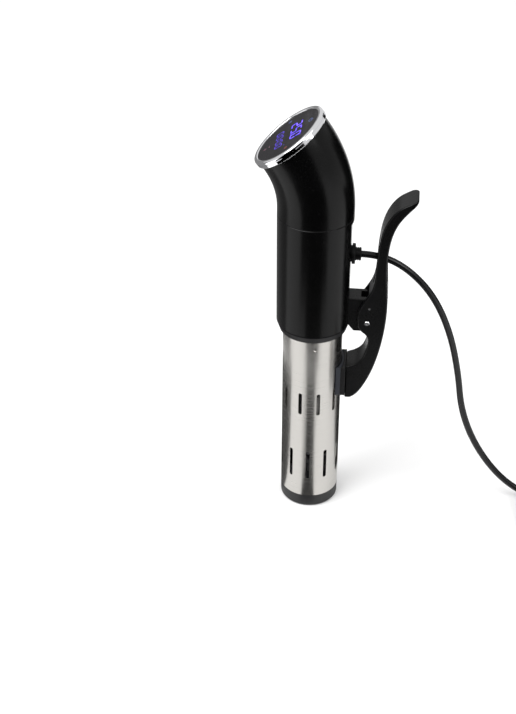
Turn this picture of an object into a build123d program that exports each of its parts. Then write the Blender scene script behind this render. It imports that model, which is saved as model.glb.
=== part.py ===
"""Sous vide circulator with a pot clip, built as separate parts.

Frame: millimetres, +Z up, origin at the middle of the flat end cap's bottom.
The skirt tube runs up the Z axis, the head bends towards -Y, the clip and cord are at +Y.
"""
from build123d import *
from math import atan2, cos, degrees, hypot, pi, radians, sin, tan
import os

os.makedirs("parts", exist_ok=True)

# ---------------------------------------------------------------- driving dimensions
COLLAR_BOTTOM = 178.0      # heights along the stick
COLLAR_TOP = 185.0
SEAM = 285.0
SEAM_GAP = 0.4

SKIRT_R = 25.0             # steel skirt tube
SKIRT_WALL = 0.8
SKIRT_TOP = 181.5
CAP_HEIGHT = 12.0
DIMPLE_Z = 168.0
DIMPLE_ANGLES = [9.0, 129.0, 249.0]

BODY_R_TOP = 31.0          # plastic body
BODY_R_BOTTOM = 30.6
BODY_WALL = 2.2
BODY_INNER = BODY_R_BOTTOM - BODY_WALL
BACK_FLAT = 29.2           # flat on the body's back that carries the gland and the clip
BACK_INNER = 27.2
FLAT_TOP = 281.0

BEND_START = 290.0         # bent head
BEND_R = 93.4
BEND_ANGLE = 38.0
HEAD_INNER = 28.8
BEZEL_R = 33.0
BEZEL_HEIGHT = 6.0
GLASS_R = 29.1
GLASS_DROP = 0.7
GLASS_THICK = 1.6

GLAND_Z = 249.0            # cable gland on the back
GLAND_R = 5.5
GLAND_TIP = 37.5
CORD_R = 2.8

PIVOT_Y = 45.0             # clip
PIVOT_Z = 190.0
PIN_R = 2.2
STUD_Y = 46.5
STUD_Z = 204.5
STUD_R = 1.0
LEVER_HALF = 12.5
CHEEK_INNER = 9.0
BRACKET_HALF = 8.4
JAW_Y = 29.0
PAD_HALF = 14.5
PAD_BOTTOM = 117.0
PAD_TOP = 145.0
PAD_FACE_R = SKIRT_R + 0.3

SHAFT_R = 2.5              # drive train
RUNNING_GAP = 0.05

FACE_TILT = radians(BEND_ANGLE)
RIM_Y = -BEND_R * (1 - cos(FACE_TILT))
RIM_Z = BEND_START + BEND_R * sin(FACE_TILT)
FACE_Y = RIM_Y - BEZEL_HEIGHT * sin(FACE_TILT)
FACE_Z = RIM_Z + BEZEL_HEIGHT * cos(FACE_TILT)
FACE = Plane(
    origin=(0, FACE_Y, FACE_Z),
    x_dir=(1, 0, 0),
    z_dir=(0, -sin(FACE_TILT), cos(FACE_TILT)),
)


def save(part, label):
    """Label a finished part and write it as its own STEP file."""
    part.label = label
    export_step(part, f"parts/{label}.step")


def ring(plane, outer, inner, height):
    """Return a plain ring that stands on the plane."""
    with BuildPart() as made:
        with BuildSketch(plane):
            Circle(outer)
            Circle(inner, mode=Mode.SUBTRACT)
        extrude(amount=height)
    return made.part


def back_room(low, high):
    """Return the block that holds everything behind the body's back wall, between two heights."""
    with BuildPart() as room:
        with BuildSketch(Plane.XZ.offset(0.1 - BACK_INNER)):
            with Locations((0, (low + high) / 2)):
                Rectangle(70, high - low)
        extrude(amount=-20)
    return room.part


# ---------------------------------------------------------------- head
with BuildPart() as head_shell:
    with BuildSketch(Plane.XY.offset(SEAM)):
        Circle(BODY_R_TOP)
        Circle(HEAD_INNER, mode=Mode.SUBTRACT)
    extrude(amount=BEND_START - SEAM)
    with BuildSketch(Plane.XY.offset(BEND_START)):
        Circle(BODY_R_TOP)
        Circle(HEAD_INNER, mode=Mode.SUBTRACT)
    revolve(axis=Axis((0, -BEND_R, BEND_START), (1, 0, 0)), revolution_arc=BEND_ANGLE)
    with BuildSketch(Plane.XY.offset(SEAM - 6)):
        Circle(28.5)
        Circle(27, mode=Mode.SUBTRACT)
    extrude(amount=6)
    add(back_room(SEAM - 7, SEAM - SEAM_GAP), mode=Mode.SUBTRACT)
    with BuildSketch(Plane.XY.offset(SEAM)):
        Circle(29.6)
        Circle(27, mode=Mode.SUBTRACT)
    extrude(amount=3)
    seam_rim = head_shell.edges().filter_by_position(Axis.Z, SEAM - 0.01, SEAM + 0.01)
    chamfer(seam_rim.sort_by(SortBy.LENGTH)[-1], length=0.3)
save(head_shell.part, "head_shell")

LIP_GROOVE = -2.7
with BuildPart() as chrome_bezel:
    with BuildSketch(Plane(FACE.origin, x_dir=FACE.x_dir, z_dir=-FACE.y_dir)):
        with BuildLine():
            Polyline(
                (28.0, -9),
                (28.7, -9),
                (28.7, -BEZEL_HEIGHT),
                (BEZEL_R - 0.7, -BEZEL_HEIGHT),
                (BEZEL_R, -BEZEL_HEIGHT + 0.8),
                (BEZEL_R, LIP_GROOVE - 0.25),
                (BEZEL_R - 0.6, LIP_GROOVE - 0.25),
                (BEZEL_R - 0.6, LIP_GROOVE + 0.25),
                (BEZEL_R, LIP_GROOVE + 0.25),
                (BEZEL_R, -1.8),
            )
            JernArc((BEZEL_R, -1.8), (0, 1), 1.8, 90)
            Line((BEZEL_R - 1.8, 0), (GLASS_R + 0.85, 0))
            JernArc((GLASS_R + 0.85, 0), (-1, 0), 0.8, 90)
            Polyline(
                (GLASS_R + 0.05, -0.8),
                (GLASS_R + 0.05, -GLASS_DROP - GLASS_THICK),
                (28.0, -GLASS_DROP - GLASS_THICK),
                (28.0, -9),
            )
        make_face()
    revolve(axis=Axis(FACE.origin, FACE.z_dir))
save(chrome_bezel.part, "chrome_bezel")

with BuildPart() as display_glass:
    with BuildSketch(FACE.offset(-GLASS_DROP - GLASS_THICK)):
        Circle(GLASS_R)
    extrude(amount=GLASS_THICK)
    chamfer(display_glass.edges().group_by(SortBy.DISTANCE)[-1], length=0.2)
save(display_glass.part, "display_glass")

SENSOR_BOTTOM = -GLASS_DROP - GLASS_THICK - 0.4
BOARD_TOP = SENSOR_BOTTOM - 7.5
BOARD_THICK = 1.6
BOARD_BOTTOM = BOARD_TOP - BOARD_THICK
with BuildPart() as touch_sensor:
    with BuildSketch(FACE.offset(SENSOR_BOTTOM)):
        Circle(27.6)
    extrude(amount=0.4)
save(touch_sensor.part, "touch_sensor")

with BuildPart() as digit_modules:
    with BuildSketch(FACE.offset(BOARD_TOP)):
        with Locations((0, 7.5)):
            Rectangle(30, 13)
        with Locations((0, -8)):
            Rectangle(26, 10)
    extrude(amount=SENSOR_BOTTOM - BOARD_TOP)
save(digit_modules.part, "digit_modules")

with BuildPart() as display_board:
    with BuildSketch(FACE.offset(BOARD_BOTTOM)):
        Circle(26.5)
        with PolarLocations(24.4, 3, start_angle=30):
            Circle(1.2, mode=Mode.SUBTRACT)
    extrude(amount=BOARD_THICK)
save(display_board.part, "display_board")

with BuildPart() as head_frame:
    with BuildSketch(FACE.offset(BOARD_BOTTOM - 2.4)):
        Circle(27.6)
        Circle(22, mode=Mode.SUBTRACT)
        with PolarLocations(24.4, 3, start_angle=30):
            Circle(1.2, mode=Mode.SUBTRACT)
    extrude(amount=2.4)
save(head_frame.part, "head_frame")

with BuildPart() as display_screws:
    with BuildSketch(FACE.offset(BOARD_BOTTOM - 2.4)):
        with PolarLocations(24.4, 3, start_angle=30):
            Circle(1.2)
    extrude(amount=4)
    with BuildSketch(FACE.offset(BOARD_BOTTOM - 4)):
        with PolarLocations(24.4, 3, start_angle=30):
            Circle(2.1)
    extrude(amount=1.6)
save(display_screws.part, "display_screws")

with BuildPart() as buzzer:
    with BuildSketch(FACE.offset(BOARD_BOTTOM - 5)):
        with Locations((9, -9)):
            Circle(5.5)
            Circle(0.8, mode=Mode.SUBTRACT)
    extrude(amount=5)
save(buzzer.part, "buzzer")

# ---------------------------------------------------------------- body
seam_gasket = ring(Plane.XY.offset(SEAM - SEAM_GAP), 30.4, 28.6, SEAM_GAP)
save(seam_gasket, "seam_gasket")

SCREW_HEIGHTS = [193.0, 206.0]
with BuildPart() as body_shell:
    with BuildSketch(Plane.XZ):
        with BuildLine():
            Polyline(
                (BODY_INNER, COLLAR_TOP),
                (BODY_R_BOTTOM, COLLAR_TOP),
                (BODY_R_TOP, SEAM - SEAM_GAP),
                (BODY_R_TOP - BODY_WALL, SEAM - SEAM_GAP),
                (BODY_INNER, COLLAR_TOP),
            )
        make_face()
    revolve(axis=Axis.Z)
    with BuildSketch(Plane.XY.offset(COLLAR_TOP)):
        Circle(BODY_INNER + 0.8)
        with Locations((0, -20)):
            Rectangle(70, 2 * (BACK_INNER + 20), mode=Mode.SUBTRACT)
    extrude(amount=FLAT_TOP + 2 - COLLAR_TOP)
    with BuildSketch(Plane.XZ.offset(-BACK_FLAT)):
        with Locations((0, (COLLAR_TOP + FLAT_TOP) / 2 - 5)):
            RectangleRounded(31, FLAT_TOP - COLLAR_TOP + 10, 6)
    extrude(amount=-10, mode=Mode.SUBTRACT)
    chamfer(body_shell.edges().group_by(Axis.Z)[-1].sort_by(SortBy.LENGTH)[-1], length=0.3)
    back_rim = body_shell.faces().filter_by(Axis.Y).sort_by(Axis.Y)[-1].edges()
    fillet(back_rim.filter_by_position(Axis.Z, COLLAR_TOP + 1, FLAT_TOP - 8), radius=0.8)
    with BuildSketch(Plane.XZ.offset(-20)):
        with Locations((0, GLAND_Z)):
            Circle(GLAND_R - 0.3)
        with Locations(*[(0, height) for height in SCREW_HEIGHTS]):
            Circle(1.6)
    extrude(amount=-20, mode=Mode.SUBTRACT)
save(body_shell.part, "body_shell")

FLANGE_BOTTOM = 183.0
with BuildPart() as bottom_collar:
    with BuildSketch(Plane.XZ):
        with BuildLine():
            Polyline(
                (SKIRT_R + 0.5, COLLAR_BOTTOM),
                (28.2, COLLAR_BOTTOM),
                (BODY_R_BOTTOM - 0.6, COLLAR_TOP - 1.5),
                (BODY_R_BOTTOM - 1.4, COLLAR_TOP - 1.1),
                (BODY_R_BOTTOM - 1.4, COLLAR_TOP),
                (BODY_INNER, COLLAR_TOP),
                (BODY_INNER, FLANGE_BOTTOM),
                (SKIRT_R + 0.5, FLANGE_BOTTOM),
                (SKIRT_R + 0.5, COLLAR_BOTTOM),
            )
        make_face()
    revolve(axis=Axis.Z)
save(bottom_collar.part, "bottom_collar")

# ---------------------------------------------------------------- chassis and electronics
PLATE_BOTTOM = 197.0
PLATE_TOP = 200.0
DECK_Z = 254.0
POST_SPOTS = [(24.0, 0), (-24.0, 0)]
MOTOR_SCREW_CIRCLE = 13.5
with BuildPart() as chassis:
    with BuildSketch(Plane.XY.offset(PLATE_BOTTOM)):
        Circle(28.0)
        Circle(9, mode=Mode.SUBTRACT)
        with PolarLocations(MOTOR_SCREW_CIRCLE, 3, start_angle=90):
            Circle(1.6, mode=Mode.SUBTRACT)
    extrude(amount=PLATE_TOP - PLATE_BOTTOM)
    with BuildSketch(Plane.XY.offset(PLATE_TOP)):
        with Locations(*POST_SPOTS):
            Circle(2.2)
    extrude(amount=DECK_Z - PLATE_TOP)
    with BuildSketch(Plane.XY.offset(DECK_Z)):
        Circle(27.8)
        Circle(12, mode=Mode.SUBTRACT)
    extrude(amount=2.5)
    add(back_room(PLATE_BOTTOM - 1, DECK_Z + 4), mode=Mode.SUBTRACT)
    with BuildSketch(Plane.XZ.offset(-20)):
        with Locations((0, GLAND_Z)):
            Circle(9)
    extrude(amount=-6, mode=Mode.SUBTRACT)
save(chassis.part, "chassis")

BOARD_FACE = 4.0
BOARD_LOW = DECK_Z + 2.5
with BuildPart() as power_board:
    with BuildSketch(Plane.XZ.offset(BOARD_FACE - 1.6)):
        with Locations((0, BOARD_LOW + 25)):
            Rectangle(42, 50)
    extrude(amount=1.6)
save(power_board.part, "power_board")

with BuildPart() as heat_sink:
    with BuildSketch(Plane.XY.offset(264)):
        with Locations((0, -BOARD_FACE + 1.6 + 1.5)):
            Rectangle(30, 3)
        with GridLocations(6.6, 1, 5, 1):
            with Locations((0, 6.1)):
                Rectangle(1.8, 12)
    extrude(amount=34)
save(heat_sink.part, "heat_sink")

with BuildPart() as capacitors:
    with BuildSketch(Plane.XZ.offset(BOARD_FACE)):
        with Locations((-13, 272), (1, 272)):
            Circle(5.6)
    extrude(amount=15)
save(capacitors.part, "capacitors")

with BuildPart() as relay:
    with BuildSketch(Plane.XZ.offset(BOARD_FACE)):
        with Locations((13, 276)):
            Rectangle(11, 20)
    extrude(amount=14)
save(relay.part, "relay")

with BuildPart() as line_choke:
    with BuildSketch(Plane.XZ.offset(BOARD_FACE)):
        with Locations((-6, 294)):
            Circle(9)
            Circle(3.6, mode=Mode.SUBTRACT)
    extrude(amount=8)
    fillet(line_choke.edges().filter_by(GeomType.CIRCLE).group_by(Axis.Y)[0], radius=1.5)
save(line_choke.part, "line_choke")

# ---------------------------------------------------------------- motor and drive train
CAN_TOP = 236.0
BUSH_R = 4.0
with BuildPart() as motor_can:
    with BuildSketch(Plane.XY.offset(PLATE_TOP)):
        Circle(18)
    extrude(amount=CAN_TOP - PLATE_TOP)
    chamfer(motor_can.edges().group_by(Axis.Z)[-1], length=1.0)
    with BuildSketch(Plane.XY.offset(PLATE_TOP + 2.4)):
        Circle(16.6)
    extrude(amount=CAN_TOP - PLATE_TOP - 4.4, mode=Mode.SUBTRACT)
    with BuildSketch(Plane.XY.offset(PLATE_TOP)):
        Circle(BUSH_R)
    extrude(amount=CAN_TOP - PLATE_TOP, mode=Mode.SUBTRACT)
    with BuildSketch(Plane.XY.offset(PLATE_TOP)):
        with PolarLocations(MOTOR_SCREW_CIRCLE, 3, start_angle=90):
            Circle(1.4)
    extrude(amount=2.4, mode=Mode.SUBTRACT)
save(motor_can.part, "motor_can")

with BuildPart() as motor_bushings:
    for bush_low, bush_height in ((PLATE_TOP, 2.4), (CAN_TOP - 2, 2.0)):
        with BuildSketch(Plane.XY.offset(bush_low)):
            Circle(BUSH_R)
            Circle(SHAFT_R + RUNNING_GAP, mode=Mode.SUBTRACT)
        extrude(amount=bush_height)
save(motor_bushings.part, "motor_bushings")

with BuildPart() as motor_magnets:
    with BuildSketch(Plane.XY.offset(PLATE_TOP + 5)):
        Circle(16.5)
        Circle(14, mode=Mode.SUBTRACT)
        with Locations((0, 0)):
            Rectangle(14, 40, mode=Mode.SUBTRACT)
    extrude(amount=24)
save(motor_magnets.part, "motor_magnets")

with BuildPart() as motor_rotor:
    with BuildSketch(Plane.XY.offset(PLATE_TOP + 5)):
        Circle(13)
        with PolarLocations(13, 8):
            Rectangle(5, 1.6, mode=Mode.SUBTRACT)
        Circle(SHAFT_R, mode=Mode.SUBTRACT)
    extrude(amount=24)
save(motor_rotor.part, "motor_rotor")

with BuildPart() as motor_screws:
    with BuildSketch(Plane.XY.offset(PLATE_BOTTOM)):
        with PolarLocations(MOTOR_SCREW_CIRCLE, 3, start_angle=90):
            Circle(1.4)
    extrude(amount=5.2)
    with BuildSketch(Plane.XY.offset(PLATE_BOTTOM - 1.8)):
        with PolarLocations(MOTOR_SCREW_CIRCLE, 3, start_angle=90):
            Circle(2.6)
    extrude(amount=1.8)
save(motor_screws.part, "motor_screws")

SHAFT_JOINT = 192.5
FAN_TOP = 250.0
with BuildPart() as motor_shaft:
    with BuildSketch(Plane.XY.offset(SHAFT_JOINT)):
        Circle(SHAFT_R)
    extrude(amount=FAN_TOP - SHAFT_JOINT)
save(motor_shaft.part, "motor_shaft")

SHAFT_LOW = 18.0
with BuildPart() as drive_shaft:
    with BuildSketch(Plane.XY.offset(SHAFT_LOW)):
        Circle(SHAFT_R)
    extrude(amount=SHAFT_JOINT - SHAFT_LOW)
save(drive_shaft.part, "drive_shaft")

shaft_coupling = ring(Plane.XY.offset(189.5), 5.5, SHAFT_R, 6)
save(shaft_coupling, "shaft_coupling")

with BuildPart() as cooling_fan:
    with BuildSketch(Plane.XY.offset(240)):
        Circle(6)
    extrude(amount=FAN_TOP - 240)
    for blade in range(7):
        turned = Plane.XY.rotated((0, 0, blade * 360 / 7)).offset(0)
        with BuildSketch(Plane(turned.origin + Vector(0, 0, 245), x_dir=turned.y_dir, z_dir=turned.x_dir)):
            with Locations(Location((0, 0), 35)):
                Rectangle(8, 1.2)
        extrude(amount=19)
    with BuildSketch(Plane.XY.offset(239)):
        Circle(SHAFT_R)
    extrude(amount=13, mode=Mode.SUBTRACT)
save(cooling_fan.part, "cooling_fan")

IMPELLER_LOW = 21.0
with BuildPart() as impeller:
    with BuildSketch(Plane.XY.offset(IMPELLER_LOW)):
        Circle(17)
    extrude(amount=1.4)
    with BuildSketch(Plane.XY.offset(IMPELLER_LOW)):
        Circle(5.5)
        with PolarLocations(10.5, 6):
            Rectangle(12.6, 1.6)
    extrude(amount=12)
    with BuildSketch(Plane.XY.offset(IMPELLER_LOW)):
        Circle(SHAFT_R)
    extrude(amount=12, mode=Mode.SUBTRACT)
save(impeller.part, "impeller")

# ---------------------------------------------------------------- heater base and what hangs in the water
BASE_BOTTOM = 158.0
FLANGE_TOP = 187.0
NECK_R = 18.0
GUIDE_R = 4.7
ELEMENT_R = 3.2
ELEMENT_REACH = 10.0
ELEMENT_Y = 11.5
PROBE_SPOT = (15.0, 0.0)
ELECTRODE_SPOTS = [(-15.0, 3.0), (-15.0, -3.0)]
with BuildPart() as heater_base:
    with BuildSketch(Plane.XY.offset(BASE_BOTTOM)):
        Circle(NECK_R)
    extrude(amount=FLANGE_TOP - BASE_BOTTOM)
    with BuildSketch(Plane.XY.offset(FLANGE_BOTTOM)):
        Circle(28.2)
    extrude(amount=FLANGE_TOP - FLANGE_BOTTOM)
    with BuildSketch(Plane.XY.offset(160.2)):
        Circle(NECK_R)
        Circle(NECK_R - 1, mode=Mode.SUBTRACT)
    extrude(amount=1.2, mode=Mode.SUBTRACT)
    with BuildSketch(Plane.XY.offset(BASE_BOTTOM)):
        Circle(3.4)
    extrude(amount=FLANGE_TOP - BASE_BOTTOM, mode=Mode.SUBTRACT)
    with BuildSketch(Plane.XY.offset(BASE_BOTTOM)):
        Circle(GUIDE_R)
    extrude(amount=8, mode=Mode.SUBTRACT)
    with BuildSketch(Plane.XY.offset(FLANGE_TOP - 5)):
        Circle(6.5)
    extrude(amount=5, mode=Mode.SUBTRACT)
    add(back_room(COLLAR_TOP - 0.1, FLANGE_TOP + 1), mode=Mode.SUBTRACT)
save(heater_base.part, "heater_base")

with BuildPart() as base_seal:
    with BuildSketch(Plane.XY.offset(FLANGE_TOP)):
        Circle(28.2)
    extrude(amount=1.4)
    add(back_room(FLANGE_TOP - 1, FLANGE_TOP + 2), mode=Mode.SUBTRACT)
    with BuildSketch(Plane.XY.offset(FLANGE_TOP)):
        Circle(22)
    extrude(amount=1.4, mode=Mode.SUBTRACT)
save(base_seal.part, "base_seal")

shaft_seal = ring(Plane.XY.offset(FLANGE_TOP - 5), 6.5, SHAFT_R + RUNNING_GAP, 5)
save(shaft_seal, "shaft_seal")

GUIDE_LOW = 42.0
shaft_guide = ring(Plane.XY.offset(GUIDE_LOW), GUIDE_R, 3.9, BASE_BOTTOM + 8 - GUIDE_LOW)
save(shaft_guide, "shaft_guide")

lower_bushing = ring(Plane.XY.offset(GUIDE_LOW), 3.9, SHAFT_R + RUNNING_GAP, 9)
save(lower_bushing, "lower_bushing")

with BuildPart() as heating_element:
    for side in (-1, 1):
        with BuildLine() as hairpin:
            Line((-ELEMENT_REACH, side * ELEMENT_Y, BASE_BOTTOM), (-ELEMENT_REACH, side * ELEMENT_Y, 66))
            ThreePointArc(
                (-ELEMENT_REACH, side * ELEMENT_Y, 66),
                (0, side * ELEMENT_Y, 66 - ELEMENT_REACH),
                (ELEMENT_REACH, side * ELEMENT_Y, 66),
            )
            Line((ELEMENT_REACH, side * ELEMENT_Y, 66), (ELEMENT_REACH, side * ELEMENT_Y, BASE_BOTTOM))
        with BuildSketch(Plane(origin=(-ELEMENT_REACH, side * ELEMENT_Y, BASE_BOTTOM), z_dir=(0, 0, -1))):
            Circle(ELEMENT_R)
        sweep(path=hairpin.wires()[0])
save(heating_element.part, "heating_element")

with BuildPart() as temperature_probe:
    with BuildSketch(Plane.XY.offset(80)):
        with Locations(PROBE_SPOT):
            Circle(2)
    extrude(amount=BASE_BOTTOM - 80)
    fillet(temperature_probe.edges().group_by(Axis.Z)[0], radius=1.8)
save(temperature_probe.part, "temperature_probe")

with BuildPart() as level_electrodes:
    with BuildSketch(Plane.XY.offset(96)):
        with Locations(*ELECTRODE_SPOTS):
            Circle(1.3)
    extrude(amount=BASE_BOTTOM - 96)
save(level_electrodes.part, "level_electrodes")

ring_clip = ring(Plane.XY.offset(160.2), 21.0, NECK_R - 1, 1.2)
save(ring_clip, "ring_clip")

RING_LOW = 161.5
RING_HIGH = 176.0
RING_R = 23.7
with BuildPart() as bayonet_ring:
    with BuildSketch(Plane.XY.offset(RING_LOW)):
        Circle(RING_R)
        Circle(NECK_R + RUNNING_GAP, mode=Mode.SUBTRACT)
    extrude(amount=RING_HIGH - RING_LOW)
    for angle in DIMPLE_ANGLES:
        with BuildSketch(Plane.XY.offset(RING_LOW)):
            with Locations(Location((0, 0), angle)):
                with Locations((RING_R, 0)):
                    Rectangle(5.6, 6.4, mode=Mode.ADD)
        extrude(amount=DIMPLE_Z + 3.4 - RING_LOW, mode=Mode.SUBTRACT)
save(bayonet_ring.part, "bayonet_ring")

# ---------------------------------------------------------------- steel skirt and end cap
OUTLET_ROWS = [(46.0, 30.0, 10, 0.0), (112.0, 22.0, 10, 18.0)]
SLOT_WIDTH = 3.2
with BuildPart() as steel_skirt:
    with BuildSketch(Plane.XY.offset(CAP_HEIGHT)):
        Circle(SKIRT_R)
        Circle(SKIRT_R - SKIRT_WALL, mode=Mode.SUBTRACT)
    extrude(amount=SKIRT_TOP - CAP_HEIGHT)
    for middle, length, count, start in OUTLET_ROWS:
        for turn in range(count):
            heading = radians(start + turn * 360 / count)
            outwards = (cos(heading), sin(heading), 0)
            sideways = (-sin(heading), cos(heading), 0)
            with BuildSketch(Plane(origin=(0, 0, middle), x_dir=sideways, z_dir=outwards)):
                SlotOverall(length, SLOT_WIDTH, rotation=90)
            extrude(amount=SKIRT_R + 5, mode=Mode.SUBTRACT)
    dimple_spots = [
        (SKIRT_R * cos(radians(angle)), SKIRT_R * sin(radians(angle)), DIMPLE_Z)
        for angle in DIMPLE_ANGLES
    ]
    with Locations(*dimple_spots):
        Sphere(2.7)
    with BuildSketch(Plane.XY.offset(DIMPLE_Z - 5)):
        Circle(SKIRT_R + 5)
        Circle(SKIRT_R, mode=Mode.SUBTRACT)
    extrude(amount=10, mode=Mode.SUBTRACT)
    with Locations(*dimple_spots):
        Sphere(1.9, mode=Mode.SUBTRACT)
save(steel_skirt.part, "steel_skirt")

INNER_SKIRT_R = SKIRT_R - SKIRT_WALL
with BuildPart() as end_cap:
    with BuildSketch(Plane.XY):
        Circle(SKIRT_R)
    extrude(amount=CAP_HEIGHT)
    fillet(end_cap.edges().group_by(Axis.Z)[0], radius=2.0)
    with BuildSketch(Plane.XY.offset(CAP_HEIGHT)):
        Circle(INNER_SKIRT_R)
    extrude(amount=5)
    with BuildSketch(Plane.XY.offset(2.5)):
        Circle(22)
    extrude(amount=CAP_HEIGHT + 3, mode=Mode.SUBTRACT)
    for turn in range(8):
        with BuildSketch(Plane.XY.rotated((0, 0, turn * 45))):
            with Locations((14.5, 0)):
                SlotOverall(13, 3.0)
        extrude(amount=2.5, mode=Mode.SUBTRACT)
save(end_cap.part, "end_cap")

# ---------------------------------------------------------------- cable gland
FLANGE_FOOT = 30.2
FLANGE_FACE = 32.8
with BuildPart() as gland_flange:
    with BuildSketch(Plane.XZ.offset(-BACK_FLAT)):
        with Locations((0, GLAND_Z)):
            Circle(6.8)
    extrude(amount=-(FLANGE_FOOT - BACK_FLAT))
    with BuildSketch(Plane.XZ.offset(-FLANGE_FOOT)):
        with Locations((0, GLAND_Z)):
            Circle(8.5)
    extrude(amount=-(FLANGE_FACE - FLANGE_FOOT))
    fillet(gland_flange.edges().group_by(Axis.Y)[-1], radius=0.8)
    with BuildSketch(Plane.XZ.offset(-BACK_FLAT)):
        with Locations((0, GLAND_Z)):
            Circle(GLAND_R)
    extrude(amount=-8, mode=Mode.SUBTRACT)
save(gland_flange.part, "gland_flange")

GLAND_ROOT = 21.5
with BuildPart() as cable_gland:
    with BuildSketch(Plane.XZ.offset(-GLAND_ROOT)):
        with Locations((0, GLAND_Z)):
            Circle(GLAND_R - 0.4)
    extrude(amount=-(BACK_FLAT - GLAND_ROOT))
    with BuildSketch(Plane.XZ.offset(-BACK_FLAT)):
        with Locations((0, GLAND_Z)):
            Circle(GLAND_R)
    extrude(amount=-(GLAND_TIP - BACK_FLAT))
    chamfer(cable_gland.edges().group_by(Axis.Y)[-1], length=0.6)
    for groove_y in (33.9, 35.4):
        with BuildSketch(Plane.XZ.offset(-groove_y)):
            with Locations((0, GLAND_Z)):
                Circle(GLAND_R + 1)
                Circle(GLAND_R - 0.5, mode=Mode.SUBTRACT)
        extrude(amount=-0.6, mode=Mode.SUBTRACT)
save(cable_gland.part, "cable_gland")

with BuildPart() as gland_nut:
    with BuildSketch(Plane.XZ.offset(-GLAND_ROOT)):
        with Locations((0, GLAND_Z)):
            RegularPolygon(7, 6)
            Circle(GLAND_R - 0.4, mode=Mode.SUBTRACT)
    extrude(amount=-3)
save(gland_nut.part, "gland_nut")

# ---------------------------------------------------------------- cord, coil and plug
COIL_X = 33.0
COIL_Y = 230.0
COIL_OUTER_R = 37.1        # it spirals inwards on the floor, then back out on top of itself
COIL_INNER_R = 23.2
COIL_MID_R = (COIL_OUTER_R + COIL_INNER_R) / 2
COIL_WIDE = COIL_OUTER_R - COIL_INNER_R + 2 * CORD_R + 0.2
COIL_TALL = 11.5
COIL_TURNS = 4.75
COIL_TAIL = 92.0           # from the last turn to the plug that lies on the coil
CORD_LIFT = CORD_R + 0.1
cord_route = [
    (0, GLAND_TIP, GLAND_Z),
    (0, 53, GLAND_Z),
    (-0.5, 76, 237),
    (-2, 98, 212),
    (-4, 114, 176),
    (-6, 124, 134),
    (-7, 130, 92),
    (-6, 146, 54),
    (-5, 171, 21),
    (-4.1, 198, CORD_LIFT + 1.2),
    (COIL_X - COIL_OUTER_R, COIL_Y - 4, CORD_LIFT),
]


def bend_radii(points):
    """Return the largest tangent arc that each corner's two runs allow."""
    radii = []
    for before, here, after in zip(points, points[1:], points[2:]):
        run_in = Vector(*here) - Vector(*before)
        run_out = Vector(*after) - Vector(*here)
        turn = radians(run_in.get_angle(run_out))
        radii.append(0.45 * min(run_in.length, run_out.length) / tan(turn / 2))
    return radii


cord_radii = bend_radii(cord_route)
with BuildPart() as power_cord:
    with BuildLine() as cord_path:
        FilletPolyline(*cord_route, radius=cord_radii)
    with BuildSketch(Plane(origin=cord_route[0], z_dir=(0, 1, 0))):
        Circle(CORD_R)
    sweep(path=cord_path.wires()[0])
save(power_cord.part, "power_cord")
cord_length = cord_path.wires()[0].length
print("cord radii", [round(radius, 1) for radius in cord_radii])
print("tube length", round(cord_length, 1), "volume ratio",
      round(power_cord.part.volume / (pi * CORD_R ** 2 * cord_length), 4))
coil_length = COIL_TURNS * 2 * pi * COIL_MID_R
print("cord length with its coil", round(cord_length + coil_length + COIL_TAIL, 0))

with BuildPart() as cord_coil:
    with BuildSketch(Plane.XZ.offset(-COIL_Y)):
        with Locations((COIL_X + COIL_MID_R, COIL_TALL / 2)):
            RectangleRounded(COIL_WIDE, COIL_TALL, 2.6)
    revolve(axis=Axis((COIL_X, COIL_Y, 0), (0, 0, 1)))
save(cord_coil.part, "cord_coil")

PLUG_X = COIL_X - 21       # the plug lies flat on the coil
PLUG_Y = COIL_Y + 8
PLUG_Z = COIL_TALL + 12.2
BOOT_LENGTH = 22.0
PLUG_LENGTH = 22.0
with BuildPart() as plug_boot:
    with BuildSketch(Plane.YZ.offset(PLUG_X)):
        with Locations((PLUG_Y, PLUG_Z)):
            Circle(CORD_R + 0.5)
    with BuildSketch(Plane.YZ.offset(PLUG_X + BOOT_LENGTH)):
        with Locations((PLUG_Y, PLUG_Z)):
            Circle(6.0)
    loft()
save(plug_boot.part, "plug_boot")

with BuildPart() as plug_body:
    with BuildSketch(Plane.YZ.offset(PLUG_X + BOOT_LENGTH)):
        with Locations((PLUG_Y, PLUG_Z)):
            RectangleRounded(26, 24, 8)
    extrude(amount=PLUG_LENGTH)
    fillet(plug_body.edges().group_by(Axis.X)[0], radius=3)
save(plug_body.part, "plug_body")

with BuildPart() as plug_pins:
    with BuildSketch(Plane.YZ.offset(PLUG_X + BOOT_LENGTH + PLUG_LENGTH)):
        with Locations((PLUG_Y - 6.35, PLUG_Z + 3), (PLUG_Y + 6.35, PLUG_Z + 3)):
            Rectangle(1.5, 6.3)
        with Locations((PLUG_Y, PLUG_Z - 6)):
            Circle(2.4)
    extrude(amount=17)
save(plug_pins.part, "plug_pins")

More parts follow.
